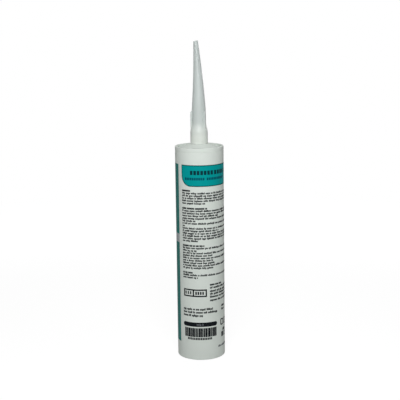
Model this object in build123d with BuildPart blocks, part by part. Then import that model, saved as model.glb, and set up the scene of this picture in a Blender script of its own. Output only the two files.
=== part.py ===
import os
from math import atan2, cos, radians, sin, tan

from build123d import *

# Caulk cartridge: barrel, screw-on nozzle, piston and the sealant between them
# Millimetres, +Z towards the nozzle, origin at the centre of the open rear end

# Barrel
barrel_diameter = 48.5
barrel_wall = 1.25
barrel_length = 216.3  # rear end to the top of the front rim
rear_lead_in = 0.6  # chamfer inside the rear end, which guides the piston in
rear_edge_radius = 0.3
rim_thickness = 2.4  # the wall thickens where it stands up round the shoulder
rim_edge_radius = 1.2
rim_lip_radius = 0.4
ring_below_rim = 4.4  # shallow ring cut into the barrel under the rim
ring_width = 0.8
ring_depth = 0.2

# Shoulder, a cone inside the rim
shoulder_wall = 1.6
shoulder_drop = 2.6  # below the rim, where the cone starts
seat_rise = 2.1  # above the rim, where the nozzle stands
seat_margin = 0.3  # the seat is this much wider than the nozzle all round

# Spout: a threaded stem and a plain nose, closed by a thin skin that is pierced before use
stem_diameter = 13.4  # at the root of the thread
stem_height = 11.0
nose_step = 1.1  # the nose's radius is this much less than the stem's
nose_height = 5.1
nose_wall = 1.1
nose_edge_radius = 0.6
skin_thickness = 0.7

# Fit of the nozzle on the spout
thread_height = 0.65  # the room that the thread takes between the stem and the nozzle
thread_clearance = 0.1
nose_clearance = 0.3
socket_room = 1.0  # the straight socket ends this far above the stem
socket_lead_in = 0.4

# Nozzle
nozzle_wall = 1.2
skirt_margin = 0.6  # the skirt ends this far above the straight socket
skirt_edge_radius = 0.3
flare_height = 6.5
flare_blend_radius = 12.0
neck_height = 16.5
neck_draft = 0.35  # the neck's radius shrinks by this much over its height
taper_height = 65.5
taper_sections = 5
tip_diameter = 4.4
tip_wall = 0.8
tip_bend = 2.4  # the tip stands this far towards -X
tip_cut_angle = 6.0  # the end is cut off square, less this angle, and is lower on the -X side
tip_edge_radius = 0.15

# Grip fins on the nozzle
fin_count = 3
fin_turn = 15.0  # the first fin stands this far round from -X towards the front
fin_thickness = 1.1
fin_inset = 0.05  # the fins stand this far inside the skirt's radius
fin_drop = 2.7  # the fins end this far below the neck's top
fin_corner = 1.4

# Piston
piston_recess = 12.0  # rear end of the barrel to the piston
piston_length = 18.0  # rear edge to the wiper lip's edge
piston_clearance = 0.05
piston_wall = 1.3
band_height = 2.6
band_relief = 0.7  # the skirt is this much smaller between its two bands
wiper_thickness = 1.0  # at its root
wiper_edge = 0.4
wiper_groove_width = 1.7
wiper_groove_depth = 3.0
web_thickness = 1.6
piston_nose_radius = 6.0
hub_diameter = 10.0
piston_rib_count = 8
piston_rib_thickness = 1.2
stop_gap = 0.8  # left before the shoulder at the end of the stroke

# Sealant
sealant_gap = 0.2  # kept all round the paste

# Radii and levels of the barrel, shoulder and spout
barrel_radius = barrel_diameter / 2
bore_radius = barrel_radius - barrel_wall
rim_inner_radius = barrel_radius - rim_thickness
rim_z = barrel_length
stem_radius = stem_diameter / 2
socket_radius = stem_radius + thread_height + thread_clearance
skirt_radius = socket_radius + nozzle_wall
seat_z = rim_z + seat_rise
seat_radius = skirt_radius + seat_margin
cone_foot_z = rim_z - shoulder_drop
shoulder_slope = atan2(seat_z - cone_foot_z, rim_inner_radius - seat_radius)
nose_radius = stem_radius - nose_step
spout_bore_radius = nose_radius - nose_wall
stem_z = seat_z + stem_height
nose_z = stem_z + nose_height
skin_z = nose_z - skin_thickness


def outer_cone(radius):
    """Height of the shoulder's outer face at a radius."""
    return cone_foot_z + (rim_inner_radius - radius) * tan(shoulder_slope)


def inner_cone(radius):
    """Height of the shoulder's inner face at a radius."""
    return outer_cone(radius) - shoulder_wall / cos(shoulder_slope)


def corner(section, radius, height):
    """The corner of a half section that lies nearest to a point."""
    return section.vertices().sort_by_distance((radius, height))[0]


# Cartridge: barrel, rim, shoulder and spout in one moulding
with BuildPart() as cartridge:
    with BuildSketch(Plane.XZ) as cartridge_section:
        with BuildLine():
            Polyline(
                (bore_radius + rear_lead_in, 0),
                (barrel_radius, 0),
                (barrel_radius, rim_z),
                (rim_inner_radius, rim_z),
                (rim_inner_radius, cone_foot_z),
                (seat_radius, seat_z),
                (stem_radius, seat_z),
                (stem_radius, stem_z),
                (nose_radius, stem_z + nose_step),
                (nose_radius, nose_z),
                (0, nose_z),
                (0, skin_z),
                (spout_bore_radius, skin_z),
                (spout_bore_radius, inner_cone(spout_bore_radius)),
                (bore_radius, inner_cone(bore_radius)),
                (bore_radius, rear_lead_in),
                close=True,
            )
        make_face()
        fillet(corner(cartridge_section, barrel_radius, 0), rear_edge_radius)
        fillet(corner(cartridge_section, barrel_radius, rim_z), rim_edge_radius)
        fillet(corner(cartridge_section, rim_inner_radius, rim_z), rim_lip_radius)
        fillet(corner(cartridge_section, nose_radius, nose_z), nose_edge_radius)
    revolve(axis=Axis.Z)

    # Ring under the rim
    with BuildSketch(Plane.XY.offset(rim_z - ring_below_rim - ring_width / 2)):
        Circle(barrel_radius + ring_depth)
        Circle(barrel_radius - ring_depth, mode=Mode.SUBTRACT)
    extrude(amount=ring_width, mode=Mode.SUBTRACT)
cartridge.part.label = "cartridge"

# Levels and radii of the nozzle
socket_z = stem_z + socket_room
skirt_z = socket_z + skirt_margin
flare_z = skirt_z + flare_height
neck_z = flare_z + neck_height
neck_base_bore = nose_radius + nose_clearance
neck_top_bore = neck_base_bore - neck_draft
fin_reach = skirt_radius - fin_inset
fin_z = neck_z - fin_drop
tip_radius = tip_diameter / 2
tip_lean = atan2(2 * tip_bend, taper_height)
tip_slope = tip_lean + radians(tip_cut_angle)


def taper_plane(share):
    """Plane across the bent taper, at a share of the way from the neck to the tip."""
    lean = atan2(2 * tip_bend * share, taper_height)
    return Plane(
        origin=(-tip_bend * share**2, 0, neck_z + taper_height * share),
        x_dir=(cos(lean), 0, sin(lean)),
        z_dir=(-sin(lean), 0, cos(lean)),
    )


def radial_plane(angle):
    """Upright plane through the axis, with its first direction pointing outwards at an angle from +X."""
    return Plane(
        origin=(0, 0, 0),
        x_dir=(cos(angle), sin(angle), 0),
        z_dir=(sin(angle), -cos(angle), 0),
    )


def between(low, high, share):
    """Value at a share of the way from low to high."""
    return low + (high - low) * share


# Nozzle: socket, fins and bent taper in one moulding
with BuildPart() as nozzle:
    with BuildSketch(Plane.XZ) as nozzle_section:
        with BuildLine():
            Polyline(
                (0, seat_z),
                (skirt_radius, seat_z),
                (skirt_radius, skirt_z),
                (neck_base_bore + nozzle_wall, flare_z),
                (neck_top_bore + nozzle_wall, neck_z),
                (0, neck_z),
                close=True,
            )
        make_face()
        fillet(corner(nozzle_section, skirt_radius, seat_z), skirt_edge_radius)
        fillet(corner(nozzle_section, skirt_radius, skirt_z), flare_blend_radius)
        fillet(corner(nozzle_section, neck_base_bore + nozzle_wall, flare_z), flare_blend_radius)
    revolve(axis=Axis.Z)
    for section in range(taper_sections + 1):
        share = section / taper_sections
        with BuildSketch(taper_plane(share)):
            Circle(between(neck_top_bore + nozzle_wall, tip_radius, share))
    loft()

    # Fins
    for fin in range(fin_count):
        with BuildSketch(radial_plane(radians(180 + fin_turn + fin * 360 / fin_count))):
            with BuildLine():
                Polyline(
                    (0, skirt_z),
                    (fin_reach, skirt_z),
                    (fin_reach, fin_z - fin_corner),
                    (fin_reach - fin_corner, fin_z),
                    (0, fin_z),
                    close=True,
                )
            make_face()
        extrude(amount=fin_thickness / 2, both=True)

    # Socket and bore
    with BuildSketch(Plane.XZ):
        with BuildLine():
            Polyline(
                (0, seat_z),
                (socket_radius + socket_lead_in, seat_z),
                (socket_radius, seat_z + socket_lead_in),
                (socket_radius, socket_z),
                (neck_base_bore, flare_z),
                (neck_top_bore, neck_z),
                (0, neck_z),
                close=True,
            )
        make_face()
    revolve(axis=Axis.Z, mode=Mode.SUBTRACT)
    for section in range(taper_sections + 1):
        share = section / taper_sections
        with BuildSketch(taper_plane(share)):
            Circle(between(neck_top_bore, tip_radius - tip_wall, share))
    loft(mode=Mode.SUBTRACT)

    # Slanting end, which starts at the +X side of the taper's last section
    tip_cut = Plane(
        origin=taper_plane(1).from_local_coords((tip_radius, 0, 0)),
        z_dir=(-sin(tip_slope), 0, cos(tip_slope)),
    )
    split(bisect_by=tip_cut, keep=Keep.BOTTOM)
    fillet(nozzle.faces().sort_by(Axis.Z)[-1].edges(), tip_edge_radius)
nozzle.part.label = "nozzle"

# Levels and radii of the piston
piston_radius = bore_radius - piston_clearance
waist_radius = piston_radius - band_relief
cup_radius = waist_radius - piston_wall
groove_radius = piston_radius - wiper_thickness
crown_radius = groove_radius - wiper_groove_width
step_radius = crown_radius - piston_wall
lip_z = piston_recess + piston_length
step_z = lip_z - wiper_groove_depth - piston_wall
hub_radius = hub_diameter / 2
stroke = inner_cone(piston_radius) - lip_z - stop_gap


def crown(radius):
    """Height of the piston's front face at a radius, sloped as the shoulder is."""
    return lip_z + (piston_radius - radius) * tan(shoulder_slope)


def crown_inside(radius):
    """Height of the web's rear face at a radius."""
    return crown(radius) - web_thickness / cos(shoulder_slope)


# Piston: cup with two guide bands, a wiper lip and a ribbed web
with BuildPart() as piston:
    with BuildSketch(Plane.XZ):
        with BuildLine():
            Polyline(
                (cup_radius, piston_recess),
                (piston_radius, piston_recess),
                (piston_radius, piston_recess + band_height),
                (waist_radius, piston_recess + band_height + band_relief),
                (waist_radius, lip_z - band_height - band_relief),
                (piston_radius, lip_z - band_height),
                (piston_radius, lip_z),
                (piston_radius - wiper_edge, lip_z),
                (groove_radius, lip_z - wiper_groove_depth),
                (crown_radius, lip_z - wiper_groove_depth),
                (crown_radius, crown(crown_radius)),
                (piston_nose_radius, crown(piston_nose_radius)),
                (0, crown(piston_nose_radius)),
                (0, crown_inside(piston_nose_radius)),
                (piston_nose_radius, crown_inside(piston_nose_radius)),
                (step_radius, crown_inside(step_radius)),
                (step_radius, step_z),
                (cup_radius, step_z),
                close=True,
            )
        make_face()
    revolve(axis=Axis.Z)

    # Hub and ribs under the web, level with the step that the gun's plunger plate meets
    with BuildSketch(Plane.XY.offset(step_z)):
        Circle(hub_radius)
        with PolarLocations((step_radius + hub_radius) / 2, piston_rib_count):
            Rectangle(step_radius - hub_radius + piston_rib_thickness, piston_rib_thickness)
        Circle(step_radius, mode=Mode.INTERSECT)
        Circle(hub_radius - piston_rib_thickness, mode=Mode.SUBTRACT)
    extrude(until=Until.NEXT)
piston.part.label = "piston"

# Sealant: the paste that fills the barrel from the piston to the skin of the spout
with BuildPart() as sealant:
    with BuildSketch(Plane.XZ) as sealant_section:
        with BuildLine():
            Polyline(
                (0, crown(piston_nose_radius) + sealant_gap),
                (piston_nose_radius, crown(piston_nose_radius) + sealant_gap),
                (bore_radius - sealant_gap, crown(bore_radius - sealant_gap) + sealant_gap),
                (bore_radius - sealant_gap, inner_cone(bore_radius - sealant_gap) - sealant_gap),
                (spout_bore_radius - sealant_gap, inner_cone(spout_bore_radius) - sealant_gap),
                (spout_bore_radius - sealant_gap, skin_z - sealant_gap),
                (0, skin_z - sealant_gap),
                close=True,
            )
        make_face()
    revolve(axis=Axis.Z)
sealant.part.label = "sealant"

os.makedirs("parts", exist_ok=True)
for piece in (cartridge.part, nozzle.part, piston.part, sealant.part):
    export_step(piece, f"parts/{piece.label}.step")
    print(piece.label, round(piece.volume), piece.bounding_box())
print("piston stroke", round(stroke, 3), "mm; nozzle stands at", round(seat_z, 3), "mm")
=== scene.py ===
import random
from math import atan2, copysign, cos, floor, hypot, pi, radians, sin, sqrt, tan

import bmesh
import bpy
from mathutils import Matrix, Vector


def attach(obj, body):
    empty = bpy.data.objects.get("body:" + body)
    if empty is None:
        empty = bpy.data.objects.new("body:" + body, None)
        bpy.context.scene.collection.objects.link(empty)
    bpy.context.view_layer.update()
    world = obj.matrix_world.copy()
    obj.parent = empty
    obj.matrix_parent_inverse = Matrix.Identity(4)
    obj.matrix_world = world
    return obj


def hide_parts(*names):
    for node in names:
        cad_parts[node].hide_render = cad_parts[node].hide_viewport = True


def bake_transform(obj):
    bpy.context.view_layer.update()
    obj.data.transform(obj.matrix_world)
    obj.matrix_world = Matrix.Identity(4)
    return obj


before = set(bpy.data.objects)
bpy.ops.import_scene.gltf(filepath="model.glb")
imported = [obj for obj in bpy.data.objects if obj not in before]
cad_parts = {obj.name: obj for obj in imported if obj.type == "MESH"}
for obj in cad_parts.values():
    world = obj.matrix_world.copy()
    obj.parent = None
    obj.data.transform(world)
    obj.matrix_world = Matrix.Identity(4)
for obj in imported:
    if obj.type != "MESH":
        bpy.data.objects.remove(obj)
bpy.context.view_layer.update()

# Caulk tube: white cartridge with its print, translucent nozzle, piston and paste
# The pieces are made in millimetres, and each mesh is scaled to metres when it is finished
# Heights and reaches in the materials, the lamps and the camera are in metres
# Angles round the barrel are in degrees from the camera's side, growing to the right

millimetre = 0.001
bpy.context.scene.view_settings.view_transform = "Standard"
print("Frame loaded:", sorted(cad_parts))


def linear(red, green, blue):  # a screen colour, 0 to 255, as Blender's linear values
    shares = [channel / 255 for channel in (red, green, blue)]
    return [share / 12.92 if share < 0.04045 else ((share + 0.055) / 1.055) ** 2.4 for share in shares] + [1]


def addNode(tree, kind, place, **settings):
    node = tree.nodes.new(kind)
    node.location = place
    for name, value in settings.items():
        setattr(node, name, value)
    return node


def setInputs(node, values):
    for name, value in values.items():
        node.inputs[name].default_value = value


def addRamp(tree, place, stops):  # stops are (share, colour) pairs in rising order
    node = addNode(tree, "ShaderNodeValToRGB", place)
    ramp = node.color_ramp
    ramp.elements[0].position = stops[0][0]
    ramp.elements[0].color = stops[0][1]
    ramp.elements[1].position = stops[-1][0]
    ramp.elements[1].color = stops[-1][1]
    for share, colour in stops[1:-1]:
        ramp.elements.new(share).color = colour
    return node


def greyStops(stops):
    return [(share, (value, value, value, 1)) for share, value in stops]


def wire(tree, *links):  # each link is a node and its output, then a node and its input
    for source, output, target, entry in links:
        tree.links.new(source.outputs[output], target.inputs[entry])


def newGroup(name, inputs, outputs):
    group = bpy.data.node_groups.new(name, "ShaderNodeTree")
    for socketName, socketType, value in inputs:
        socket = group.interface.new_socket(name=socketName, in_out="INPUT", socket_type=socketType)
        if value is not None:
            socket.default_value = value
    for socketName, socketType in outputs:
        group.interface.new_socket(name=socketName, in_out="OUTPUT", socket_type=socketType)
    start = addNode(group, "NodeGroupInput", (-900, 0))
    end = addNode(group, "NodeGroupOutput", (700, 0))
    return group, start, end


# Fine grain of a moulded skin, over broad slow waves
grainGroup, start, end = newGroup(
    "mouldedGrain",
    [
        ("Vector", "NodeSocketVector", None),
        ("Grain", "NodeSocketFloat", 1800.0),
        ("Waves", "NodeSocketFloat", 60.0),
    ],
    [("Height", "NodeSocketFloat"), ("Drift", "NodeSocketFloat")],
)
grain = addNode(grainGroup, "ShaderNodeTexNoise", (-500, 150))
setInputs(grain, {"Detail": 2.0, "Roughness": 0.55})
waves = addNode(grainGroup, "ShaderNodeTexNoise", (-500, -150))
setInputs(waves, {"Detail": 3.0, "Roughness": 0.5})
height = addNode(grainGroup, "ShaderNodeMath", (-150, 50), operation="MULTIPLY_ADD")
height.inputs[1].default_value = 6.0  # the waves weigh six times what the grain does
wire(
    grainGroup,
    (start, "Vector", grain, "Vector"),
    (start, "Vector", waves, "Vector"),
    (start, "Grain", grain, "Scale"),
    (start, "Waves", waves, "Scale"),
    (waves, "Fac", height, 0),
    (grain, "Fac", height, 2),
    (height, "Value", end, "Height"),
    (waves, "Fac", end, "Drift"),
)

# Faint rubs from handling, long and thin along the tube
rubGroup, start, end = newGroup(
    "handlingRubs",
    [
        ("Vector", "NodeSocketVector", None),
        ("Scale", "NodeSocketFloat", 90.0),
        ("Rarity", "NodeSocketFloat", 0.62),
    ],
    [("Mask", "NodeSocketFloat")],
)
stretch = addNode(rubGroup, "ShaderNodeMapping", (-650, 0))
setInputs(stretch, {"Rotation": (0.3, 0.2, 0.0), "Scale": (1.0, 1.0, 0.12)})
streaks = addNode(rubGroup, "ShaderNodeTexNoise", (-400, 0))
setInputs(streaks, {"Detail": 6.0, "Roughness": 0.65, "Distortion": 0.4})
cutOff = addNode(rubGroup, "ShaderNodeMapRange", (-100, 0))
cutOff.inputs["From Max"].default_value = 0.86  # rubs are at their strongest here
wire(
    rubGroup,
    (start, "Vector", stretch, "Vector"),
    (stretch, "Vector", streaks, "Vector"),
    (start, "Scale", streaks, "Scale"),
    (start, "Rarity", cutOff, "From Min"),
    (streaks, "Fac", cutOff, "Value"),
    (cutOff, "Result", end, "Mask"),
)

# A colour that drifts a little and is dulled where it is rubbed
tintGroup, start, end = newGroup(
    "driftingTint",
    [
        ("Colour", "NodeSocketColor", (0.8, 0.8, 0.8, 1.0)),
        ("Rubbed", "NodeSocketColor", (0.7, 0.7, 0.7, 1.0)),
        ("Drift", "NodeSocketFloat", 0.5),
        ("Amount", "NodeSocketFloat", 0.04),
        ("Mask", "NodeSocketFloat", 0.0),
    ],
    [("Colour", "NodeSocketColor")],
)
centred = addNode(tintGroup, "ShaderNodeMath", (-650, -100), operation="SUBTRACT")
centred.inputs[1].default_value = 0.5  # where noise has its middle
brighter = addNode(tintGroup, "ShaderNodeMath", (-450, -100), operation="MULTIPLY_ADD")
brighter.inputs[2].default_value = 1.0
shaded = addNode(tintGroup, "ShaderNodeVectorMath", (-250, 0), operation="SCALE")
dulled = addNode(tintGroup, "ShaderNodeMix", (50, 0), data_type="RGBA")
wire(
    tintGroup,
    (start, "Drift", centred, 0),
    (centred, "Value", brighter, 0),
    (start, "Amount", brighter, 1),
    (start, "Colour", shaded, "Vector"),
    (brighter, "Value", shaded, "Scale"),
    (start, "Mask", dulled, "Factor"),
    (shaded, "Vector", dulled, 6),
    (start, "Rubbed", dulled, 7),
    (dulled, 2, end, "Colour"),
)
print("Grain, rubs and tint ready")


def makeFinish(name, look, shader):  # look feeds the groups, shader goes straight on the Principled BSDF
    material = bpy.data.materials.new(name)
    material.use_nodes = True
    tree = material.node_tree
    surface = tree.nodes["Principled BSDF"]
    place = addNode(tree, "ShaderNodeTexCoord", (-1400, 0))
    mapping = addNode(tree, "ShaderNodeMapping", (-1200, 0), name="Mapping")
    skin = addNode(tree, "ShaderNodeGroup", (-950, 150), node_tree=grainGroup)
    rubs = addNode(tree, "ShaderNodeGroup", (-950, -150), node_tree=rubGroup)
    tint = addNode(tree, "ShaderNodeGroup", (-600, 200), node_tree=tintGroup, name="driftingTint")
    gloss = addNode(tree, "ShaderNodeMapRange", (-600, -50))
    worn = addNode(tree, "ShaderNodeMath", (-350, -100), operation="MULTIPLY_ADD", name="worn")
    bump = addNode(tree, "ShaderNodeBump", (-350, -350))
    setInputs(skin, {"Grain": look["grain"], "Waves": look["waves"]})
    setInputs(rubs, {"Scale": look["rubs"], "Rarity": look["rarity"]})
    setInputs(tint, {"Colour": look["colour"], "Rubbed": look["rubbed"], "Amount": look["drift"]})
    glossiest = look["roughness"] - look["glossDrift"]
    dullest = look["roughness"] + look["glossDrift"]
    setInputs(gloss, {"To Min": glossiest, "To Max": dullest})
    worn.inputs[1].default_value = look["rubRoughness"]
    bump.inputs["Distance"].default_value = look["bump"] * millimetre
    wire(
        tree,
        (place, "Object", mapping, "Vector"),
        (mapping, "Vector", skin, "Vector"),
        (mapping, "Vector", rubs, "Vector"),
        (skin, "Drift", tint, "Drift"),
        (rubs, "Mask", tint, "Mask"),
        (skin, "Drift", gloss, "Value"),
        (rubs, "Mask", worn, 0),
        (gloss, "Result", worn, 2),
        (skin, "Height", bump, "Height"),
        (tint, "Colour", surface, "Base Color"),
        (worn, "Value", surface, "Roughness"),
        (bump, "Normal", surface, "Normal"),
    )
    setInputs(surface, shader)
    return material


rubbedShare = 0.93  # what is left of a colour where it is rubbed


def plasticLook(colour, **changes):
    look = {
        "colour": linear(*colour),
        "rubbed": linear(*[rubbedShare * channel for channel in colour]),
        "drift": 0.05,
        "grain": 1500.0,
        "waves": 45.0,
        "bump": 0.006,
        "rubs": 90.0,
        "rarity": 0.64,
        "rubRoughness": 0.12,
        "roughness": 0.42,
        "glossDrift": 0.06,
    }
    look.update(changes)
    return look


def milkyScatter(weight, reach):  # the same reach for each colour, so thin plastic doesn't turn red
    return {"Subsurface Weight": weight, "Subsurface Scale": reach, "Subsurface Radius": (1, 1, 1)}


barrelColour = (215, 222, 216)
barrelPlastic = makeFinish(
    "barrelPolyethylene",
    plasticLook(barrelColour),
    {"Specular IOR Level": 0.04} | milkyScatter(0.15, 0.001),
)
# Painted shade: the shoulder's foot and the moat round it are painted darker, where shade falls in the
# recess, and the rim above is matte
moat = {
    # the painted shade's colour, darker than the barrel
    "colour": (208, 214, 209),
    "fullRadius": 0.025,  # the stops below are shares of it
    "shadeStops": ((0.86, 1), (0.885, 0)),
    "paintedShade": 0.2152,  # the painted shade is full up to this height
    "unshaded": 0.2163,  # and gone from this one up
    "matteStops": ((0.95, 1), (0.965, 0)),
    "matteRoughness": 0.95,
}
tree = barrelPlastic.node_tree
surface = tree.nodes["Principled BSDF"]
mapping = tree.nodes["Mapping"]
across = addNode(tree, "ShaderNodeVectorMath", (-1000, 700), operation="MULTIPLY")
across.inputs[1].default_value = (1 / moat["fullRadius"], 1 / moat["fullRadius"], 0)
reach = addNode(tree, "ShaderNodeVectorMath", (-800, 700), operation="LENGTH")
ring = addRamp(tree, (-600, 700), greyStops(moat["shadeStops"]))
matte = addRamp(tree, (-600, 950), greyStops(moat["matteStops"]))
dulling = addNode(tree, "ShaderNodeMix", (-100, 900), data_type="FLOAT")
dulling.inputs[3].default_value = moat["matteRoughness"]
height = addNode(tree, "ShaderNodeSeparateXYZ", (-1000, 500))
below = addNode(tree, "ShaderNodeMapRange", (-800, 500), interpolation_type="SMOOTHSTEP")
setInputs(below, {"From Min": moat["paintedShade"], "From Max": moat["unshaded"], "To Min": 1.0, "To Max": 0.0})
# painted shade: the darker colour is mixed in inside the rim and below its top
paintedShade = addNode(tree, "ShaderNodeMath", (-300, 600), operation="MULTIPLY")
shadeMix = addNode(tree, "ShaderNodeMix", (-100, 600), data_type="RGBA")
shadeMix.inputs[6].default_value = linear(*barrelColour)
shadeMix.inputs[7].default_value = linear(*moat["colour"])
wire(
    tree,
    (mapping, "Vector", across, 0),
    (across, "Vector", reach, 0),
    (reach, "Value", ring, "Fac"),
    (reach, "Value", matte, "Fac"),
    (matte, "Color", dulling, "Factor"),
    (tree.nodes["worn"], "Value", dulling, 2),
    (dulling, 0, surface, "Roughness"),
    (mapping, "Vector", height, "Vector"),
    (height, "Z", below, "Value"),
    (ring, "Color", paintedShade, 0),
    (below, "Result", paintedShade, 1),
    (paintedShade, "Value", shadeMix, "Factor"),
    (shadeMix, 2, tree.nodes["driftingTint"], "Colour"),
)

nozzlePlastic = makeFinish(
    "nozzlePolyethylene",
    plasticLook((200, 208, 205), bump=0.004, roughness=0.36, drift=0.04),
    {"Specular IOR Level": 0.42, "Transmission Weight": 0.1} | milkyScatter(0.5, 0.0015),
)
# Painted light over the nozzle's own tone: the skirt is painted paler where the white spout inside would
# shine through it, and the thin tip is painted greyest
nozzlePaintedLight = {
    "foot": 0.2184,
    "tip": 0.3197,
    "stops": (
        (0.07, (228, 234, 227)),
        (0.23, (203, 211, 208)),
        (0.6, (200, 208, 206)),
        (0.95, (190, 198, 196)),
    ),
}
tree = nozzlePlastic.node_tree
height = addNode(tree, "ShaderNodeSeparateXYZ", (-1000, 500))
along = addNode(tree, "ShaderNodeMapRange", (-800, 500))
setInputs(along, {"From Min": nozzlePaintedLight["foot"], "From Max": nozzlePaintedLight["tip"]})
paintedLightRamp = addRamp(tree, (-600, 500), [(share, linear(*colour)) for share, colour in nozzlePaintedLight["stops"]])
wire(
    tree,
    (tree.nodes["Mapping"], "Vector", height, "Vector"),
    (height, "Z", along, "Value"),
    (along, "Result", paintedLightRamp, "Fac"),
    (paintedLightRamp, "Color", tree.nodes["driftingTint"], "Colour"),
)
pistonPlastic = makeFinish(
    "pistonPolyethylene",
    plasticLook((205, 207, 203), roughness=0.5, drift=0.06),
    {"Specular IOR Level": 0.35} | milkyScatter(0.1, 0.001),
)
pasteFinish = makeFinish(
    "siliconePaste",
    plasticLook((222, 222, 216), roughness=0.22, bump=0.03, grain=250.0, waves=30.0),
    {"Specular IOR Level": 0.5, "Coat Weight": 0.3, "Coat Roughness": 0.1},
)
print("Plastics mixed")

# Mesh helpers
near = 0.01  # vertices this close stand in one place
weld = 0.001  # vertices this close are merged


def chainOf(bm, points, closed=False):  # a line of (radius, height) points, ready to spin
    verts = [bm.verts.new((radius, 0, height)) for radius, height in points]
    follow = verts[1:] + verts[:1] if closed else verts[1:]
    for pair in zip(verts, follow):
        bm.edges.new(pair)


def spinRound(bm, steps):
    bmesh.ops.spin(
        bm,
        geom=bm.verts[:] + bm.edges[:],
        cent=(0, 0, 0),
        axis=(0, 0, 1),
        dvec=(0, 0, 0),
        angle=2 * pi,
        steps=steps,
        use_merge=True,
    )
    bmesh.ops.remove_doubles(bm, verts=bm.verts, dist=weld)
    bmesh.ops.recalc_face_normals(bm, faces=bm.faces)


def roundRing(bm, radius, height, rounding, segments=4):
    ring = []
    for edge in bm.edges:
        offsets = [(hypot(end.co.x, end.co.y) - radius, end.co.z - height) for end in edge.verts]
        if all(abs(outwards) < near and abs(upwards) < near for outwards, upwards in offsets):
            ring.append(edge)
    bmesh.ops.bevel(
        bm,
        geom=ring,
        offset=rounding,
        offset_type="OFFSET",
        affect="EDGES",
        segments=segments,
        profile=0.5,
        material=-1,
    )


def finishPiece(name, bm, materials, crease=35):
    for face in bm.faces:
        face.smooth = True
    for edge in bm.edges:
        edge.smooth = edge.calc_face_angle(0) < radians(crease)
    bmesh.ops.scale(bm, vec=(millimetre, millimetre, millimetre), verts=bm.verts)
    mesh = bpy.data.meshes.new(name)
    bm.to_mesh(mesh)
    bm.free()
    for material in materials:
        mesh.materials.append(material)
    piece = bpy.data.objects.new(name, mesh)
    bpy.context.scene.collection.objects.link(piece)
    print(name, "has", len(mesh.polygons), "faces")
    return piece


# Cartridge: barrel, rim, shoulder and spout in one moulding
cartridge = {
    "radius": 24.25,
    "bore": 23.0,
    "length": 216.3,
    "rearLeadIn": 0.6,
    "rearEdge": 0.3,
    "rimRadius": 21.85,
    "rimEdge": 0.5,
    "rimLip": 0.4,
    "moatCorner": 0.5,
    "ringLow": 211.5,
    "ringHigh": 212.3,
    "ringDepth": 0.2,
    "ringEdge": 0.12,
    "coneFoot": 213.7,
    "shoulderWall": 1.6,
    "seatRadius": 8.95,
    "seat": 218.4,
    "seatEdge": 0.3,
    "stemRadius": 6.7,
    "stemTop": 229.4,
    "noseRadius": 5.6,
    "noseTop": 234.5,
    "noseEdge": 0.6,
    "noseWall": 1.1,
    "skin": 0.7,  # closes the end of the spout
    "hold": 0.9,  # a row this far from a rounded edge keeps the long wall beside it evenly shaded
    "steps": 192,
}
size = cartridge  # short for this section
slope = (size["seat"] - size["coneFoot"]) / (size["rimRadius"] - size["seatRadius"])


def coneUnderside(radius):  # height of the shoulder's inner face
    outside = cartridge["coneFoot"] + (cartridge["rimRadius"] - radius) * slope
    return outside - cartridge["shoulderWall"] * sqrt(1 + slope**2)


spoutBore = size["noseRadius"] - size["noseWall"]
bm = bmesh.new()
chainOf(
    bm,
    [
        (0, size["noseTop"]),
        (size["noseRadius"], size["noseTop"]),
        (size["noseRadius"], size["stemTop"] + size["stemRadius"] - size["noseRadius"]),
        (size["stemRadius"], size["stemTop"]),
        (size["stemRadius"], size["seat"]),
        (size["seatRadius"], size["seat"]),
        (size["seatRadius"] + size["hold"], size["seat"] - size["hold"] * slope),
        (size["rimRadius"] - size["hold"], size["coneFoot"] + size["hold"] * slope),
        (size["rimRadius"], size["coneFoot"]),
        (size["rimRadius"], size["length"]),
        (size["radius"], size["length"]),
        (size["radius"], size["length"] - size["rimEdge"] - size["hold"] / 2),
        (size["radius"], size["ringHigh"] + size["hold"] / 2),
        (size["radius"], size["ringHigh"]),
        (size["radius"] - size["ringDepth"], size["ringHigh"]),
        (size["radius"] - size["ringDepth"], size["ringLow"]),
        (size["radius"], size["ringLow"]),
        (size["radius"], size["ringLow"] - size["hold"] / 2),
        (size["radius"], size["hold"]),
        (size["radius"], 0),
        (size["bore"] + size["rearLeadIn"], 0),
        (size["bore"], size["rearLeadIn"]),
        (size["bore"], coneUnderside(size["bore"])),
        (spoutBore, coneUnderside(spoutBore)),
        (spoutBore, size["noseTop"] - size["skin"]),
        (0, size["noseTop"] - size["skin"]),
    ],
)
spinRound(bm, size["steps"])
roundRing(bm, size["radius"], size["length"], size["rimEdge"])
roundRing(bm, size["rimRadius"], size["length"], size["rimLip"])
roundRing(bm, size["radius"], 0, size["rearEdge"], 3)
roundRing(bm, size["noseRadius"], size["noseTop"], size["noseEdge"])
roundRing(bm, size["rimRadius"], size["coneFoot"], size["moatCorner"])
roundRing(bm, size["seatRadius"], size["seat"], size["seatEdge"], 3)
roundRing(bm, size["radius"], size["ringHigh"], size["ringEdge"], 3)
roundRing(bm, size["radius"], size["ringLow"], size["ringEdge"], 3)
cartridgeBody = finishPiece("cartridgeBody", bm, [barrelPlastic])
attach(cartridgeBody, "cartridge")
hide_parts("cartridge")

# Thread on the spout, and the one inside the nozzle: both are shallow, so the nozzle lifts past
spoutThread = {"root": 6.6, "crest": 7.05, "low": 220.6, "turns": 2.5, "pitch": 3.0}
socketThread = {"root": 7.55, "crest": 7.14, "low": 222.1, "turns": 2.2, "pitch": 3.0}
ridge = {
    "stepsPerTurn": 60,
    "rootHalf": 0.75,
    "crestHalf": 0.28,
    "fade": 0.18,  # of a turn, at either end
    "endHeight": 0.03,  # share of the full height that the ends keep
    "endWidth": 0.4,
}


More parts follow.
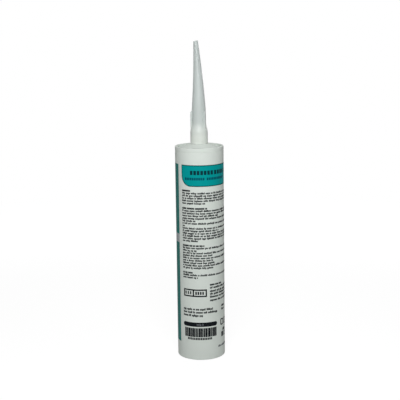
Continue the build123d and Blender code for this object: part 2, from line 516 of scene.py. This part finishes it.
def makeThread(bm, look):
    corners = (
        (look["root"], -ridge["rootHalf"]),
        (look["crest"], -ridge["crestHalf"]),
        (look["crest"], ridge["crestHalf"]),
        (look["root"], ridge["rootHalf"]),
    )
    section = bm.faces.new([bm.verts.new((radius, 0, look["low"] + rise)) for radius, rise in corners])
    bmesh.ops.spin(
        bm,
        geom=section.verts[:] + section.edges[:] + [section],
        cent=(0, 0, 0),
        axis=(0, 0, 1),
        dvec=(0, 0, look["pitch"] / ridge["stepsPerTurn"]),
        angle=2 * pi * look["turns"],
        steps=round(ridge["stepsPerTurn"] * look["turns"]),
    )
    bmesh.ops.remove_doubles(bm, verts=bm.verts, dist=weld)
    for vert in bm.verts:  # both ends run out into the wall
        turn = atan2(vert.co.y, vert.co.x) / (2 * pi)
        climbed = (vert.co.z - look["low"]) / look["pitch"]
        along = turn + round(climbed - turn)
        faded = min(1.0, along / ridge["fade"], (look["turns"] - along) / ridge["fade"])
        share = max(ridge["endHeight"], faded)
        radius = hypot(vert.co.x, vert.co.y)
        scale = (look["root"] + (radius - look["root"]) * share) / radius
        middle = look["low"] + along * look["pitch"]
        width = ridge["endWidth"] + (1 - ridge["endWidth"]) * share
        vert.co = (vert.co.x * scale, vert.co.y * scale, middle + (vert.co.z - middle) * width)
    bmesh.ops.recalc_face_normals(bm, faces=bm.faces)


bm = bmesh.new()
makeThread(bm, spoutThread)
threadRidge = finishPiece("spoutThread", bm, [barrelPlastic], crease=50)
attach(threadRidge, "cartridge")
print("Cartridge built")

# Nozzle: socket, three grip fins and a bent taper
nozzle = {
    "foot": 218.4,
    "footEdge": 0.3,
    "skirtRadius": 8.65,
    "flareLow": 229.6,
    "flareHigh": 238.9,
    "flareSteps": 8,
    "neckFoot": 7.07,
    "neckTop": 254.0,
    "neckRadius": 6.82,
    "taperSteps": 12,
    "hold": 1.0,
    "tipTop": 319.65,
    "tipRadius": 2.2,
    "tipWall": 0.8,
    "tipEdge": 0.2,
    "tipZone": 0.5,  # the slanting cut moves only what is this near the top
    "bend": 2.4,
    "cutAngle": 10.2,
    "socketRadius": 7.45,
    "socketTop": 230.4,
    "socketLeadIn": 0.4,
    "boreFoot": 5.9,
    "boreFootHeight": 237.5,
    "boreTop": 5.55,
    "fins": (195, 315, 75),
    "finReach": 8.6,
    "finThickness": 1.1,
    "finTop": 251.3,
    "finCorner": 1.4,
    "finEdge": 0.15,
    "finFootRow": 1,  # the row of the flare where the fins start
    "finSquareRow": 3,  # the row from which they stand proud enough for a rounded edge
    "finFacing": 0.5,  # a face this far turned outwards, or more, can carry a fin
    "finSeam": 0.1,  # vertices nearer to a fin's middle plane than this lie on it
    "steps": 72,
}
size = nozzle  # short for this section


def mix(low, high, share):
    return low + (high - low) * share


flareRows = []
for step in range(size["flareSteps"] + 1):
    share = step / size["flareSteps"]
    eased = share * share * (3 - 2 * share)  # starts and ends level
    rowHeight = mix(size["flareLow"], size["flareHigh"], share)
    flareRows.append((mix(size["skirtRadius"], size["neckFoot"], eased), rowHeight))
neckRows = []
for rowHeight in (size["finTop"] - size["finCorner"], size["finTop"], size["neckTop"]):
    share = (rowHeight - size["flareHigh"]) / (size["neckTop"] - size["flareHigh"])
    neckRows.append((mix(size["neckFoot"], size["neckRadius"], share), rowHeight))
outerTaper = []
innerTaper = []
shares = [step / size["taperSteps"] for step in range(1, size["taperSteps"] + 1)]
shares.insert(-1, 1 - size["hold"] / (size["tipTop"] - size["neckTop"]))
for share in shares:
    rowHeight = mix(size["neckTop"], size["tipTop"], share)
    outerTaper.append((mix(size["neckRadius"], size["tipRadius"], share), rowHeight))
    innerTaper.append((mix(size["boreTop"], size["tipRadius"] - size["tipWall"], share), rowHeight))
bm = bmesh.new()
chainOf(
    bm,
    [(size["skirtRadius"], size["foot"]), (size["skirtRadius"], size["foot"] + size["hold"])]
    + flareRows
    + neckRows
    + outerTaper
    + innerTaper[::-1]
    + [
        (size["boreTop"], size["neckTop"]),
        (size["boreFoot"], size["boreFootHeight"]),
        (size["socketRadius"], size["socketTop"]),
        (size["socketRadius"], size["foot"] + size["socketLeadIn"]),
        (size["socketRadius"] + size["socketLeadIn"], size["foot"]),
    ],
    closed=True,
)
spinRound(bm, size["steps"])
roundRing(bm, size["skirtRadius"], size["foot"], size["footEdge"], 3)
roundRing(bm, size["tipRadius"], size["tipTop"], size["tipEdge"], 3)
finFoot = flareRows[size["finFootRow"]][1]
finSquare = flareRows[size["finSquareRow"]][1]
oneStep = 2 * pi / size["steps"]
for angle in size["fins"]:  # each fin grows from two columns of faces
    turned = Matrix.Rotation(radians(-angle), 3, "Z")
    back = turned.inverted()
    strip = []
    for face in bm.faces:
        middle = turned @ face.calc_center_median()
        aside = abs(atan2(middle.y, middle.x))
        outwards = (turned @ face.normal).x > size["finFacing"]
        if outwards and aside < oneStep and finFoot < middle.z < size["finTop"]:
            strip.append(face)
    for vert in {vert for face in strip for vert in face.verts}:
        local = turned @ vert.co
        if abs(local.y) > size["finSeam"]:
            aside = copysign(size["finThickness"] / 2, local.y)
            vert.co = back @ Vector((sqrt(local.x**2 + local.y**2 - aside**2), aside, local.z))
    edges = {edge for face in strip for edge in face.edges}
    grown = bmesh.ops.extrude_face_region(bm, geom=strip + list(edges))["geom"]
    finVerts = [item for item in grown if isinstance(item, bmesh.types.BMVert)]
    for vert in finVerts:
        local = turned @ vert.co
        if local.z > finFoot + near:
            local.x = size["finReach"] - (size["finCorner"] if local.z > size["finTop"] - near else 0)
        vert.co = back @ local
    rim = set()
    for vert in finVerts:
        for edge in vert.link_edges:
            ends = [turned @ end.co for end in edge.verts]
            outer = all(end in finVerts for end in edge.verts)
            proud = min(end.z for end in ends) > finSquare - near
            sideways = all(abs(end.y) > size["finSeam"] for end in ends) and ends[0].y * ends[1].y > 0
            if outer and proud and sideways:
                rim.add(edge)
    bmesh.ops.recalc_face_normals(bm, faces=bm.faces)
    bmesh.ops.bevel(
        bm,
        geom=list(rim),
        offset=size["finEdge"],
        offset_type="OFFSET",
        affect="EDGES",
        segments=2,
        profile=0.5,
        material=-1,
    )
bmesh.ops.remove_doubles(bm, verts=bm.verts, dist=weld)
for vert in bm.verts:  # slanting end first, then the bend
    if vert.co.z > size["tipTop"] - size["tipZone"]:
        vert.co.z -= (size["tipRadius"] - vert.co.x) * tan(radians(size["cutAngle"]))
    along = max(0.0, (vert.co.z - size["neckTop"]) / (size["tipTop"] - size["neckTop"]))
    vert.co.x -= size["bend"] * along**2
bmesh.ops.recalc_face_normals(bm, faces=bm.faces)
nozzleBody = finishPiece("nozzleBody", bm, [nozzlePlastic])
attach(nozzleBody, "nozzle")
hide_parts("nozzle")
bm = bmesh.new()
makeThread(bm, socketThread)
socketRidge = finishPiece("socketThread", bm, [nozzlePlastic], crease=50)
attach(socketRidge, "nozzle")
print("Nozzle built")

# Piston: the CAD solid keeps its shape and gets its plastic
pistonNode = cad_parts["piston"]
for materialSlot in pistonNode.material_slots:
    materialSlot.material = pistonPlastic

# Paste between the piston and the skin of the spout: its rear follows the piston
paste = {
    "gap": 0.2,
    "crownEdge": 30.0,  # height of the piston's crown at its outer edge
    "crownRadius": 22.95,
    "noseRadius": 6.0,
    "steps": 96,
}


def crownFace(radius):  # height of the piston's front face
    return paste["crownEdge"] + (paste["crownRadius"] - radius) * slope


fillRadius = cartridge["bore"] - paste["gap"]
columnRadius = spoutBore - paste["gap"]
columnTop = cartridge["noseTop"] - cartridge["skin"] - paste["gap"]
bm = bmesh.new()
chainOf(
    bm,
    [
        (0, crownFace(paste["noseRadius"]) + paste["gap"]),
        (paste["noseRadius"], crownFace(paste["noseRadius"]) + paste["gap"]),
        (fillRadius, crownFace(fillRadius) + paste["gap"]),
        (fillRadius, coneUnderside(fillRadius) - paste["gap"]),
        (columnRadius, coneUnderside(spoutBore) - paste["gap"]),
        (columnRadius, columnTop),
        (0, columnTop),
    ],
)
spinRound(bm, paste["steps"])
sealantFill = finishPiece("sealantFill", bm, [pasteFinish])
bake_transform(sealantFill)
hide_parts("sealant")
print("Piston and paste done")

# Print on the barrel: drawn flat, across as millimetres of arc and up as height, then wrapped as thin skins
# Left and right are angles in the values and tables below
printing = {
    "lift": 0.03,  # how far a skin stands proud of the barrel
    "titleLift": 0.05,
    "sideTextLift": 0.08,
    "sink": 0.05,  # how deep it reaches into the wall
    "cut": 1.2,  # wide plates are cut into strips this wide, so that they bend round the barrel
    "seed": 11,
    "headerLeft": -46.6,
    "headerRight": 114,
    "headerLow": 178.6,
    "top": 199.9,
    "headerCorner": 10.5,
    "outline": 1.0,
    "fieldRight": -58.8,
    "fieldLeft": -230,
    "fieldLow": 16.5,
    "bandLow": 120.4,
    "bandHigh": 129.2,
    "textLeft": -46,
    "rowPitch": 2.53,
    "cornerSteps": 8,
    "titleCorner": 0.3,
}
# Blocks that make up a row: most of one height, some taller, some reaching below the line
smallRow = {
    "narrow": 0.6, "wide": 1.0, "gap": 0.14, "space": 0.8,
    "height": 1.45, "tall": 1.95, "drop": 0.5,
}
headingRow = {
    "narrow": 0.75, "wide": 1.1, "gap": 0.1, "space": 0.6,
    "height": 1.75, "tall": 1.75, "drop": 0.0,
}
noteRow = {
    "narrow": 0.8, "wide": 1.2, "gap": 0.17, "space": 0.85,
    "height": 1.7, "tall": 2.3, "drop": 0.5,
}
wideRow = {
    "narrow": 1.25, "wide": 1.4, "gap": 0.4, "space": 0.0,
    "height": 2.3, "tall": 2.3, "drop": 0.0,
}
grouping = {"fewest": 2, "most": 9, "tallShare": 0.22, "dropAbove": 0.9}
dice = random.Random(printing["seed"])


def inkLook(colour):
    return plasticLook(colour, bump=0.004, roughness=0.4, rarity=0.66)


inkShader = {"Specular IOR Level": 0.06}
tealInk = makeFinish("tealInk", inkLook((0, 148, 149)), inkShader)
edgeInk = makeFinish("headerEdgeInk", inkLook((0, 84, 82)), inkShader)
deepInk = makeFinish("deepTealInk", inkLook((42, 117, 110)), inkShader)
greyInk = makeFinish("greyInk", inkLook((168, 174, 178)), inkShader)
noteInk = makeFinish("noteInk", inkLook((96, 100, 104)), inkShader)
darkInk = makeFinish("darkInk", inkLook((20, 24, 28)), inkShader)
titleInk = makeFinish("titleInk", inkLook((6, 52, 60)), inkShader)
subtitleInk = makeFinish("subtitleInk", inkLook((0, 66, 86)), inkShader)
whiteInk = makeFinish("whiteInk", inkLook((212, 219, 213)), inkShader)


def arc(angle):
    return radians(angle) * cartridge["radius"]


def addPlate(bm, left, right, low, high, ink=0, corner=0.0, corners=(0, 1, 2, 3)):
    place = Matrix.Translation(((left + right) / 2, (low + high) / 2, 0))
    shape = place @ Matrix.Diagonal((right - left, high - low, 1, 1))
    verts = bmesh.ops.create_grid(bm, x_segments=1, y_segments=1, size=0.5, matrix=shape)["verts"]
    face = verts[0].link_faces[0]
    face.material_index = ink
    if corner:
        others = set(bm.faces) - {face}
        bmesh.ops.bevel(
            bm,
            geom=[verts[index] for index in corners],  # lower left, lower right, upper left, upper right
            offset=corner,
            offset_type="OFFSET",
            affect="VERTICES",
            segments=printing["cornerSteps"],
            profile=0.5,
            material=-1,
        )
        face = next(item for item in bm.faces if item not in others)
    return face


def addSign(bm, left, right, low, high, corner, line=0):  # from angle to angle, open inside if it has a line
    face = addPlate(bm, arc(left), arc(right), low, high, corner=corner)
    if line:
        bmesh.ops.inset_region(bm, faces=[face], thickness=line, use_boundary=True, use_even_offset=True)
        bmesh.ops.delete(bm, geom=[face], context="FACES")


def addTwoCells(bm, look):  # a frame with an upright line between its cells
    line = look["line"]
    left, divider, right = arc(look["left"]), arc(look["divider"]), arc(look["right"])
    columns = (left, left + line, divider - line / 2, divider + line / 2, right - line, right)
    rows = (look["low"], look["low"] + line, look["high"] - line, look["high"])
    across = len(columns) - 1
    upwards = len(rows) - 1
    verts = bmesh.ops.create_grid(bm, x_segments=across, y_segments=upwards, size=0.5)["verts"]
    for vert in verts:
        vert.co = (columns[round((vert.co.x + 0.5) * across)], rows[round((vert.co.y + 0.5) * upwards)], 0)
    own = {face for vert in verts for face in vert.link_faces}
    cells = []
    for face in bm.faces:
        middle = face.calc_center_median()
        between = columns[1] < middle.x < columns[2] or columns[3] < middle.x < columns[4]
        if face in own and between and rows[1] < middle.y < rows[2]:
            cells.append(face)
    bmesh.ops.delete(bm, geom=cells, context="FACES")


def addBlocks(bm, left, right, low, style, ink=0):  # plain blocks in groups, from angle to angle
    at = arc(left)
    end = arc(right)
    while at + style["wide"] < end:
        for block in range(dice.randint(grouping["fewest"], grouping["most"])):
            width = dice.uniform(style["narrow"], style["wide"])
            if at + width > end:
                break
            kind = dice.random()
            top = style["tall"] if kind < grouping["tallShare"] else style["height"]
            foot = -style["drop"] if kind > grouping["dropAbove"] else 0
            addPlate(bm, at, at + width, low + foot, low + top, ink)
            at += width + style["gap"]
        at += style["space"]


def addRow(bm, left, right, middle, style):  # the same, with its middle height given
    addBlocks(bm, left, right, middle - style["height"] / 2, style)


def addTitle(bm, left, right, low, high, blocks, gap, ink=0):  # one group of equal blocks
    width = (arc(right) - arc(left) + gap) / blocks
    for block in range(blocks):
        start = arc(left) + block * width
        addPlate(bm, start, start + width - gap, low, high, ink, printing["titleCorner"])


def wrapPrint(bm, lift, cut=True):
    if cut:
        reach = [vert.co.x for vert in bm.verts]
        first = floor(min(reach) / printing["cut"]) + 1
        last = floor(max(reach) / printing["cut"])
        for column in range(first, last + 1):
            bmesh.ops.bisect_plane(
                bm,
                geom=bm.verts[:] + bm.edges[:] + bm.faces[:],
                dist=weld,
                plane_co=(column * printing["cut"], 0, 0),
                plane_no=(1, 0, 0),
            )
    bmesh.ops.remove_doubles(bm, verts=bm.verts, dist=weld)  # plates that meet become one sheet
    bmesh.ops.translate(bm, vec=(0, 0, -printing["sink"]), verts=bm.verts)
    grown = bmesh.ops.extrude_face_region(bm, geom=bm.faces[:])["geom"]
    raised = [item for item in grown if isinstance(item, bmesh.types.BMVert)]
    bmesh.ops.translate(bm, vec=(0, 0, lift + printing["sink"]), verts=raised)
    bmesh.ops.recalc_face_normals(bm, faces=bm.faces)
    for vert in bm.verts:
        turn = vert.co.x / cartridge["radius"]
        out = cartridge["radius"] + vert.co.z
        vert.co = (out * sin(turn), -out * cos(turn), vert.co.y)


def placePrint(name, bm, inks, lift, cut=True):
    wrapPrint(bm, lift, cut)
    piece = finishPiece(name, bm, inks, crease=30)
    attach(piece, "cartridge")


# Header panel with its dark edge, and the deep fields that go round the hidden side
bm = bmesh.new()
panel = addPlate(
    bm,
    arc(printing["headerLeft"]),
    arc(printing["headerRight"]),
    printing["headerLow"],
    printing["top"],
    corner=printing["headerCorner"],
    corners=(0, 1),
)
border = bmesh.ops.inset_region(
    bm,
    faces=[panel],
    thickness=printing["outline"],
    use_boundary=True,
    use_even_offset=True,
)
for face in border["faces"]:
    face.material_index = 1
placePrint("printHeader", bm, [tealInk, edgeInk], printing["lift"])
bm = bmesh.new()
fieldLeft = arc(printing["fieldLeft"])
fieldRight = arc(printing["fieldRight"])
addPlate(bm, fieldLeft, fieldRight, printing["bandHigh"], printing["top"])
addPlate(bm, fieldLeft, fieldRight, printing["bandLow"], printing["bandHigh"], ink=1)
addPlate(bm, fieldLeft, fieldRight, printing["fieldLow"], printing["bandLow"])
placePrint("printFields", bm, [deepInk, greyInk], printing["lift"])

# Titles: two rows of plain blocks on the header, and two on the hidden side
titles = (  # left, right, low, high, blocks, gap, ink
    (-22.6, 32.5, 190.3, 194.5, 7, 0.9, 0),
    (36, 69, 190.3, 194.5, 4, 0.9, 0),
    (74, 100, 190.3, 194.5, 3, 0.9, 0),
    (-36, 11, 185.0, 187.6, 11, 0.55, 1),
    (17, 69, 185.0, 187.6, 12, 0.55, 1),
    (-190, -101, 172.0, 180.5, 7, 0.9, 2),
    (-190, -150, 163.5, 167.0, 7, 0.5, 2),
    (-145, -101, 163.5, 167.0, 8, 0.5, 2),
)
bm = bmesh.new()
for title in titles:
    addTitle(bm, *title)
placePrint("printTitles", bm, [titleInk, subtitleInk, whiteInk], printing["titleLift"])

# Paragraphs: a heading, then rows that each end at an angle, or run on to the right margin
paragraphs = (
    {"heading": 174.3, "end": -21, "rows": (110, 106, 109, 104, 13)},
    {"heading": 156.6, "end": 19, "rows": (108, 104, 51, 110, -11, 107, -36, 110, 50, 105, 109, 107, -4.5)},
    {"heading": 118.9, "end": 11.5, "rows": (109, -6, 106, 29.5, 110, 33, 35.5, 108, 36)},
    {"heading": 91.2, "end": -18, "rows": (109, -5.8)},
)
notes = (  # left, right, middle height, style
    (22, 58, 78.5, headingRow),
    (22, 104, 75.4, noteRow),
    (22, 98, 71.8, noteRow),
    (22, 106, 69.0, noteRow),
    (22, 101, 65.9, noteRow),
    (22, 96, 62.3, noteRow),
    (printing["textLeft"], 30.5, 53.2, noteRow),
    (printing["textLeft"], 43, 50.0, noteRow),
    (printing["textLeft"], 4, 46.7, noteRow),
    (57.5, 74, 54.0, noteRow),
    (57.5, 74, 50.4, noteRow),
)
footNote = {"left": 45, "right": 100, "low": 11.2}
bm = bmesh.new()
for paragraph in paragraphs:
    rowHeight = paragraph["heading"]
    addRow(bm, printing["textLeft"], paragraph["end"], rowHeight, headingRow)
    for rowEnd in paragraph["rows"]:
        rowHeight -= printing["rowPitch"]
        addRow(bm, printing["textLeft"], rowEnd, rowHeight, smallRow)
for note in notes:
    addRow(bm, *note)
addBlocks(bm, footNote["left"], footNote["right"], footNote["low"], noteRow, ink=1)
placePrint("printText", bm, [darkInk, noteInk], printing["lift"], cut=False)

# Marks: a frame of two cells, a dark bar with a note on it, stripes, and plain signs to the right
cells = {"left": -44.2, "divider": -18.2, "right": 14.4, "low": 66.4, "high": 74.3, "line": 1.4}
cellTitles = (  # left, right, low, high, blocks, gap
    (-39.5, -23.5, 68.8, 72.1, 3, 1.3),
    (-13.5, 7, 68.7, 71.9, 4, 0.8),
)
darkBar = (-46.5, 41, 35.1, 39.6, 2.1)  # left, right, low, high, corner
barNote = {"left": -11, "right": 7, "low": 36.5}
stripes = {
    "left": -42.5,
    "right": 36.5,
    "low": 24.2,
    "high": 33.7,
    "widths": (0.7, 1.1, 1.5, 2.1),
    "gaps": (0.15, 0.2, 0.28),
}
stripeNote = {"left": -34.5, "right": 28, "low": 21.2}
signs = (  # left, right, low, high, corner, and the line of an open one
    (53, 66, 33.5, 40.4, 1.6, 1.3),
    (69, 80, 33.5, 40.4, 1.6, 1.3),
    (63, 76, 27.0, 30.0, 1.2),
    (57, 66, 21.0, 26.4, 0.8),
    (69, 80, 21.0, 25.6, 0.8, 1.0),
    (84, 98, 21.0, 40.4, 1.6, 0.8),
)
bm = bmesh.new()
addTwoCells(bm, cells)
for title in cellTitles:
    addTitle(bm, *title)
addSign(bm, *darkBar)
at = arc(stripes["left"])
while at < arc(stripes["right"]):
    stripe = dice.choice(stripes["widths"])
    addPlate(bm, at, at + stripe, stripes["low"], stripes["high"])
    at += stripe + dice.choice(stripes["gaps"])
addBlocks(bm, stripeNote["left"], stripeNote["right"], stripeNote["low"], wideRow)
for sign in signs:
    addSign(bm, *sign)
placePrint("printMarks", bm, [darkInk], printing["lift"])
bm = bmesh.new()
addBlocks(bm, barNote["left"], barNote["right"], barNote["low"], smallRow)
placePrint("printBarNote", bm, [noteInk], printing["titleLift"], cut=False)

# Hidden side: rules beside the band, and a pale panel with rows of its own
sidePanel = {
    "left": -198,
    "right": -94,
    "low": 58.0,
    "high": 106.0,
    "corner": 5.0,
    "ruleNear": 1.2,  # both edges of a rule, from the edge of the band
    "ruleFar": 1.8,
    "textLeft": -192,
    "firstRow": 99.5,
    "rowPitch": 3.0,
    "rowEnds": (-101, -104, -100, -150, -103, -100, -106, -170, -102, -100, -105, -101, -140),
}
ruleRight = arc(sidePanel["right"])
bandTop = printing["bandHigh"]
bandFoot = printing["bandLow"]
bm = bmesh.new()
addPlate(bm, fieldLeft, ruleRight, bandTop + sidePanel["ruleNear"], bandTop + sidePanel["ruleFar"])
addPlate(bm, fieldLeft, ruleRight, bandFoot - sidePanel["ruleFar"], bandFoot - sidePanel["ruleNear"])
addSign(bm, sidePanel["left"], sidePanel["right"], sidePanel["low"], sidePanel["high"], sidePanel["corner"])
placePrint("printSidePanel", bm, [whiteInk], printing["titleLift"])
bm = bmesh.new()
for row, rowEnd in enumerate(sidePanel["rowEnds"]):
    rowHeight = sidePanel["firstRow"] - sidePanel["rowPitch"] * row
    addRow(bm, sidePanel["textLeft"], rowEnd, rowHeight, noteRow)
placePrint("printSideText", bm, [deepInk], printing["sideTextLift"], cut=False)
print("Print laid on")

# Floor, light and camera
studio = {
    "floorHalf": 3.0,
    "floorCells": 4,
    "floorDrop": 0.0002,
    "floorColour": (0.62, 0.62, 0.62, 1),
    "floorRoughness": 0.9,
    "floorSpecular": 0.1,
    "whiteNear": 0.7,  # how much plain white the camera sees in the floor near the tube, over its shadow
    "whiteNearStrength": 1.25,
    "nearReach": 0.3,
    "farReach": 0.9,  # from here out the floor is plain white
    "ambient": 0.228,
    "keyPower": 2.66,
    "keySize": 0.3,
    "keyPlace": (0.0, -0.5, 0.48),
    "backPower": 4.0,
    "backSize": 0.8,
    "backPlace": (0.1, 1.0, 0.6),
    "aim": (0, 0, 0.16),
}
bm = bmesh.new()
cellCount = studio["floorCells"]
bmesh.ops.create_grid(bm, x_segments=cellCount, y_segments=cellCount, size=studio["floorHalf"])
mesh = bpy.data.meshes.new("studioFloor")
bm.to_mesh(mesh)
bm.free()
mesh.transform(Matrix.Translation((0, 0, -studio["floorDrop"])))
studioFloor = bpy.data.objects.new("studioFloor", mesh)
bpy.context.scene.collection.objects.link(studioFloor)
floorFinish = bpy.data.materials.new("studioFloor")
floorFinish.use_nodes = True
tree = floorFinish.node_tree
surface = tree.nodes["Principled BSDF"]
setInputs(surface, {"Base Color": studio["floorColour"], "Roughness": studio["floorRoughness"]})
setInputs(surface, {"Specular IOR Level": studio["floorSpecular"]})
path = addNode(tree, "ShaderNodeLightPath", (-900, 300))
seen = addNode(tree, "ShaderNodeMath", (-650, 300), operation="MAXIMUM")
place = addNode(tree, "ShaderNodeTexCoord", (-1100, -100))
away = addNode(tree, "ShaderNodeVectorMath", (-900, -100), operation="LENGTH")
whitening = addNode(tree, "ShaderNodeMapRange", (-650, 0), interpolation_type="SMOOTHSTEP")
easing = addNode(tree, "ShaderNodeMapRange", (-650, -300), interpolation_type="SMOOTHSTEP")
reaches = {"From Min": studio["nearReach"], "From Max": studio["farReach"]}
setInputs(whitening, reaches | {"To Min": studio["whiteNear"], "To Max": 1.0})
setInputs(easing, reaches | {"To Min": studio["whiteNearStrength"], "To Max": 1.0})
share = addNode(tree, "ShaderNodeMath", (-400, 200), operation="MULTIPLY")
white = addNode(tree, "ShaderNodeEmission", (-300, -300))
both = addNode(tree, "ShaderNodeMixShader", (200, 200))
wire(
    tree,
    (path, "Is Camera Ray", seen, 0),
    (path, "Is Transmission Ray", seen, 1),
    (place, "Object", away, 0),
    (away, "Value", whitening, "Value"),
    (away, "Value", easing, "Value"),
    (seen, "Value", share, 0),
    (whitening, "Result", share, 1),
    (easing, "Result", white, "Strength"),
    (share, "Value", both, 0),
    (surface, "BSDF", both, 1),
    (white, "Emission", both, 2),
    (both, "Shader", tree.nodes["Material Output"], "Surface"),
)
mesh.materials.append(floorFinish)

world = bpy.data.worlds.new("studioWorld")
bpy.context.scene.world = world
world.use_nodes = True
tree = world.node_tree
room = tree.nodes["Background"]
setInputs(room, {"Color": (1, 1, 1, 1), "Strength": studio["ambient"]})
backdrop = addNode(tree, "ShaderNodeBackground", (-100, -200))
setInputs(backdrop, {"Color": (1, 1, 1, 1), "Strength": 1.0})
path = addNode(tree, "ShaderNodeLightPath", (-900, 300))
glossy = addNode(tree, "ShaderNodeMath", (-600, 300), operation="MAXIMUM")
through = addNode(tree, "ShaderNodeMath", (-400, 300), operation="MAXIMUM")
both = addNode(tree, "ShaderNodeMixShader", (100, 100))
wire(
    tree,
    (path, "Is Camera Ray", glossy, 0),
    (path, "Is Glossy Ray", glossy, 1),
    (glossy, "Value", through, 0),
    (path, "Is Transmission Ray", through, 1),
    (through, "Value", both, 0),
    (room, "Background", both, 1),
    (backdrop, "Background", both, 2),
    (both, "Shader", tree.nodes["World Output"], "Surface"),
)


def addLamp(name, place, power, side):
    data = bpy.data.lights.new(name, "AREA")
    data.energy = power
    data.size = side
    lamp = bpy.data.objects.new(name, data)
    bpy.context.scene.collection.objects.link(lamp)
    lamp.location = place
    lamp.rotation_euler = (Vector(studio["aim"]) - Vector(place)).to_track_quat("-Z", "Y").to_euler()


addLamp("keyLight", studio["keyPlace"], studio["keyPower"], studio["keySize"])
addLamp("backLight", studio["backPlace"], studio["backPower"], studio["backSize"])

view = {
    "place": (0, -0.9052, 0.3354),
    "down": 10.91,  # degrees, as the next two are
    "yaw": -0.01,
    "roll": -0.683,
    "lens": 82.25,
    "sensor": 36,
}
cameraData = bpy.data.cameras.new("photoCamera")
cameraData.lens = view["lens"]
cameraData.sensor_width = view["sensor"]
photoCamera = bpy.data.objects.new("photoCamera", cameraData)
bpy.context.scene.collection.objects.link(photoCamera)
photoCamera.matrix_world = (
    Matrix.Translation(view["place"])
    @ Matrix.Rotation(radians(view["yaw"]), 4, "Z")
    @ Matrix.Rotation(radians(90 - view["down"]), 4, "X")
    @ Matrix.Rotation(radians(view["roll"]), 4, "Z")
)
bpy.context.scene.camera = photoCamera
print("Stage lit")
